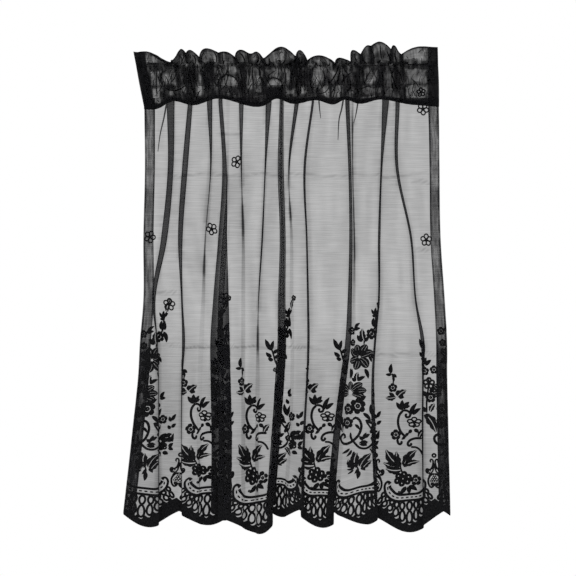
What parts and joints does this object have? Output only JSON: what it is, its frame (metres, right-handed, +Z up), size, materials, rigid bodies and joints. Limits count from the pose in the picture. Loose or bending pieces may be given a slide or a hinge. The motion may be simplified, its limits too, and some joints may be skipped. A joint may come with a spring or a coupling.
{
  "type": "gathered lace valance",
  "caption": "Sheer gathered lace valance with a ruffled rod-pocket heading, soft knife folds, turned side hems and a scalloped floral border.",
  "frame": {"origin": "middle of the gather seam, at the top edge of the rod pocket, in the pocket's middle plane", "axes": "+Z up, +X to the right as seen from the room, -Y towards the room"},
  "size_m": [0.4071, 0.023, 0.6117],
  "materials": {
    "gathered_net": "black sheer warp-knit net, gathered and layered",
    "lace_net": "black sheer warp-knit net with dense floral lace border"
  },
  "bodies": {
    "root": {"heading": "gathered_net", "panel": "lace_net"}
  },
  "joints": []
}
